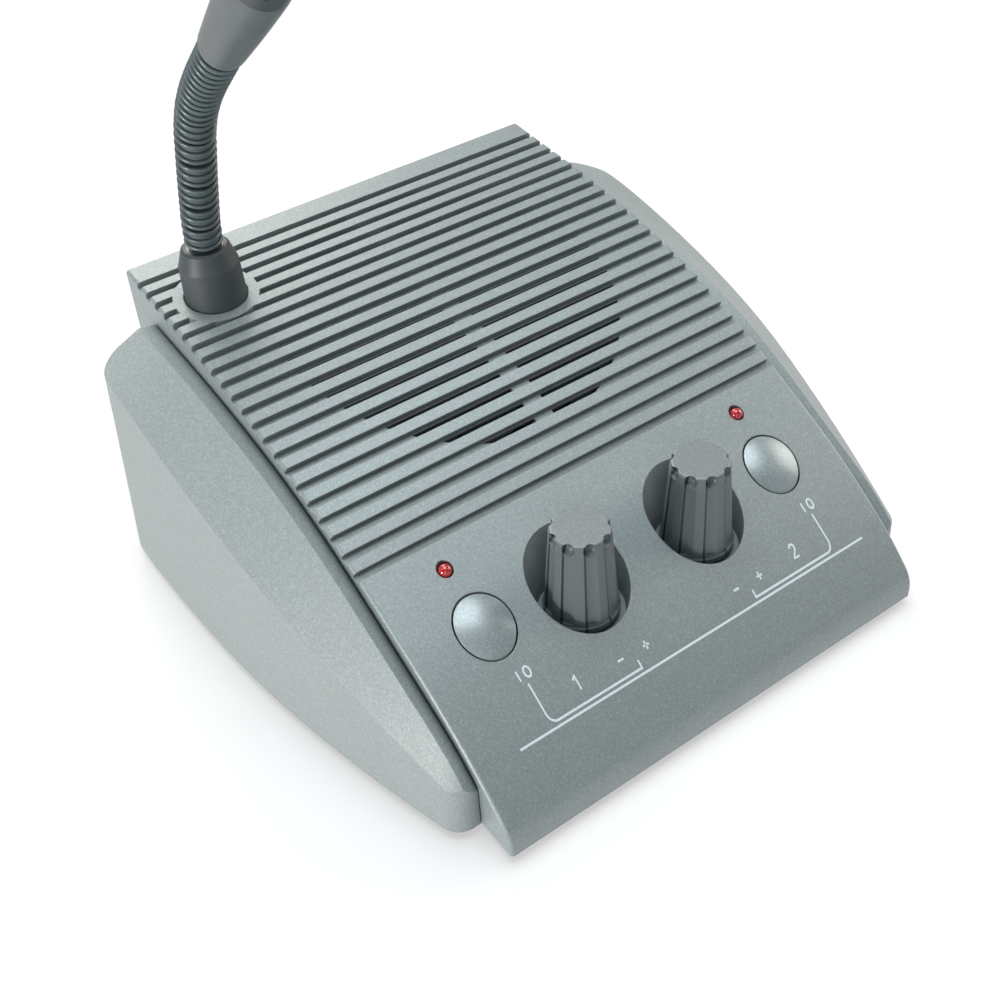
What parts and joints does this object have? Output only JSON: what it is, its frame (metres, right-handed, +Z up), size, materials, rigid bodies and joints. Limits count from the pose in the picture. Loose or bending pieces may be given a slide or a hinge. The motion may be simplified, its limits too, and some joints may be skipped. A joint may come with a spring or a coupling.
{
  "type": "teller window intercom",
  "caption": "Wedge-shaped desk intercom station with a ribbed speaker deck, volume knobs, push buttons, indicator lamps and a gooseneck microphone.",
  "frame": {"origin": "middle of the footprint, at table level, under the feet", "axes": "+Z up, -Y towards the seated user and the control panel, +X to the user's right"},
  "size_m": [0.159, 0.1542, 0.1616],
  "materials": {
    "case_plastic": "fine spark texture, satin",
    "cheek_plastic": "fine spark texture, satin",
    "base_plastic": "moulded, matt",
    "foot_rubber": "matt",
    "screw_steel": "zinc plated",
    "board_laminate": "solder mask",
    "can_aluminium": "satin",
    "chip_epoxy": "matt",
    "socket_plastic": "semi gloss",
    "pot_steel": "stamped",
    "shaft_aluminium": "turned",
    "knob_plastic": "satin, painted top",
    "button_plastic": "satin",
    "switch_plastic": "moulded",
    "plunger_plastic": "moulded",
    "lamp_epoxy": "clear red",
    "lead_tin": "tinned",
    "basket_steel": "black stamped steel",
    "cone_paper": "paper",
    "magnet_ferrite": "matt",
    "grille_cloth": "open weave",
    "boot_rubber": "matt",
    "neck_metal": "powder coat, satin",
    "mic_plastic": "satin",
    "capsule_aluminium": "plain",
    "grille_metal": "satin black"
  },
  "bodies": {
    "case": {"amplifier_chips": "chip_epoxy", "base_plate": "base_plastic", "board_screws": "screw_steel", "capacitors": "can_aluminium", "case_screws": "screw_steel", "cheek_left": "cheek_plastic", "cheek_right": "cheek_plastic", "cheek_screws": "screw_steel", "deck_cover": "case_plastic", "feet": "foot_rubber", "lamp_leads": "lead_tin", "lamp_left": "lamp_epoxy", "lamp_right": "lamp_epoxy", "line_jack": "socket_plastic", "main_board": "board_laminate", "neck_boot": "boot_rubber", "neck_nut": "screw_steel", "neck_stem": "neck_metal", "pot_left": "pot_steel", "pot_nuts": "screw_steel", "pot_right": "pot_steel", "power_jack": "socket_plastic", "speaker_basket": "basket_steel", "speaker_cloth": "grille_cloth", "speaker_cone": "cone_paper", "speaker_magnet": "magnet_ferrite", "speaker_screws": "screw_steel", "switch_left": "switch_plastic", "switch_right": "switch_plastic"},
    "left_knob": {"knob_left": "knob_plastic", "pot_shaft_left": "shaft_aluminium"},
    "right_knob": {"knob_right": "knob_plastic", "pot_shaft_right": "shaft_aluminium"},
    "left_button": {"button_left": "button_plastic", "plunger_left": "plunger_plastic"},
    "right_button": {"button_right": "button_plastic", "plunger_right": "plunger_plastic"},
    "neck_01": {"neck_link_01": "neck_metal"},
    "neck_02": {"neck_link_02": "neck_metal"},
    "neck_03": {"neck_link_03": "neck_metal"},
    "neck_04": {"neck_link_04": "neck_metal"},
    "neck_05": {"neck_link_05": "neck_metal"},
    "neck_06": {"neck_link_06": "neck_metal"},
    "neck_07": {"neck_link_07": "neck_metal"},
    "neck_08": {"neck_link_08": "neck_metal"},
    "neck_09": {"neck_link_09": "neck_metal"},
    "neck_10": {"neck_link_10": "neck_metal"},
    "mic_head": {"mic_body": "mic_plastic", "mic_capsule": "capsule_aluminium", "mic_grille": "grille_metal"}
  },
  "joints": [
    {"name": "left_knob_turn", "type": "hinge", "parent": "case", "child": "left_knob", "pos_m": [-0.0163, -0.0477, 0.03], "axis": [0, 0, 1], "range_deg": [-150, 150]},
    {"name": "left_button_push", "type": "slide", "parent": "case", "child": "left_button", "axis": [0, 0, -1], "range_m": [0, 0.002], "stiffness_N_per_m": 600, "springref_m": -0.001},
    {"name": "right_knob_turn", "type": "hinge", "parent": "case", "child": "right_knob", "pos_m": [0.0163, -0.0477, 0.03], "axis": [0, 0, 1], "range_deg": [-150, 150]},
    {"name": "right_button_push", "type": "slide", "parent": "case", "child": "right_button", "axis": [0, 0, -1], "range_m": [0, 0.002], "stiffness_N_per_m": 600, "springref_m": -0.001},
    {"name": "neck_bend_01", "type": "hinge", "parent": "case", "child": "neck_01", "pos_m": [-0.0442, 0.0526, 0.07774], "axis": [1, 0, 0], "range_deg": [-23, 1]},
    {"name": "neck_bend_02", "type": "hinge", "parent": "neck_01", "child": "neck_02", "pos_m": [-0.0442, 0.05136, 0.08413], "axis": [1, 0, 0], "range_deg": [-20, 4]},
    {"name": "neck_side_03", "type": "hinge", "parent": "neck_02", "child": "neck_03", "pos_m": [-0.0442, 0.04924, 0.09029], "axis": [0, 0.9455, 0.3256], "range_deg": [-12, 12]},
    {"name": "neck_bend_04", "type": "hinge", "parent": "neck_03", "child": "neck_04", "pos_m": [-0.0442, 0.04712, 0.09644], "axis": [1, 0, 0], "range_deg": [-14, 10]},
    {"name": "neck_side_05", "type": "hinge", "parent": "neck_04", "child": "neck_05", "pos_m": [-0.0442, 0.04479, 0.10252], "axis": [0, 0.9336, 0.3584], "range_deg": [-12, 12]},
    {"name": "neck_bend_06", "type": "hinge", "parent": "neck_05", "child": "neck_06", "pos_m": [-0.0442, 0.04245, 0.1086], "axis": [1, 0, 0], "range_deg": [-22, 2]},
    {"name": "neck_bend_07", "type": "hinge", "parent": "neck_06", "child": "neck_07", "pos_m": [-0.0442, 0.0391, 0.11418], "axis": [1, 0, 0], "range_deg": [-21, 3]},
    {"name": "neck_bend_08", "type": "hinge", "parent": "neck_07", "child": "neck_08", "pos_m": [-0.0442, 0.03492, 0.11916], "axis": [1, 0, 0], "range_deg": [-18, 6]},
    {"name": "neck_bend_09", "type": "hinge", "parent": "neck_08", "child": "neck_09", "pos_m": [-0.0442, 0.03023, 0.12369], "axis": [1, 0, 0], "range_deg": [-15, 9]},
    {"name": "neck_side_10", "type": "hinge", "parent": "neck_09", "child": "neck_10", "pos_m": [-0.0442, 0.02532, 0.12796], "axis": [0, 0.6561, 0.7547], "range_deg": [-12, 12]},
    {"name": "neck_bend_11", "type": "hinge", "parent": "neck_10", "child": "mic_head", "pos_m": [-0.0442, 0.02041, 0.13223], "axis": [1, 0, 0], "range_deg": [-13, 11]}
  ]
}
